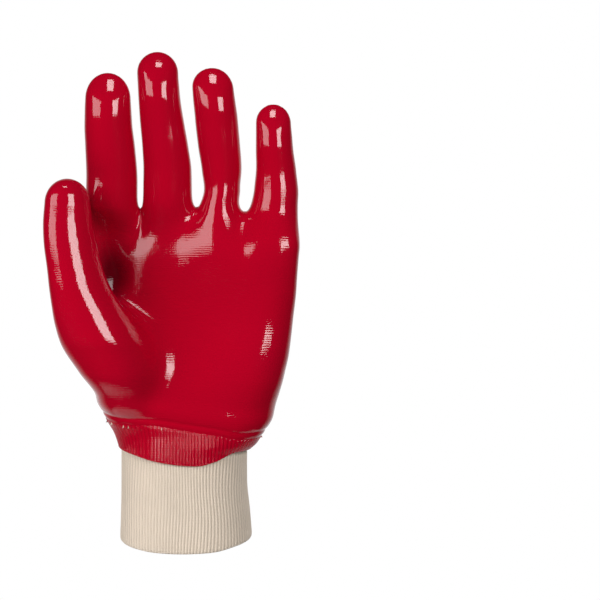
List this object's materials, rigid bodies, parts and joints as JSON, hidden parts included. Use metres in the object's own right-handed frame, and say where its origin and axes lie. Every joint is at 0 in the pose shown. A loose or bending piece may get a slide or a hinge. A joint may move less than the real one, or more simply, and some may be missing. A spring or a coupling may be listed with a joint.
{
  "type": "pvc coated work glove",
  "caption": "Left-hand knit-wrist work glove with a glossy dipped coat over the whole hand and a ribbed pull-on cuff.",
  "frame": {"origin": "middle of the cuff's opening, level with the lowest part of its folded rim", "axes": "+Z from the wrist to the fingertips, -Y out of the palm, -X towards the thumb"},
  "size_m": [0.1298, 0.0802, 0.2614],
  "materials": {
    "coat": "wet-looking glossy crimson PVC over a knit liner",
    "knit": "matt natural cotton rib knit",
    "print": "thin gold ink print"
  },
  "bodies": {
    "root": {"coated_hand": "coat", "knit_cuff": "knit"}
  },
  "joints": []
}
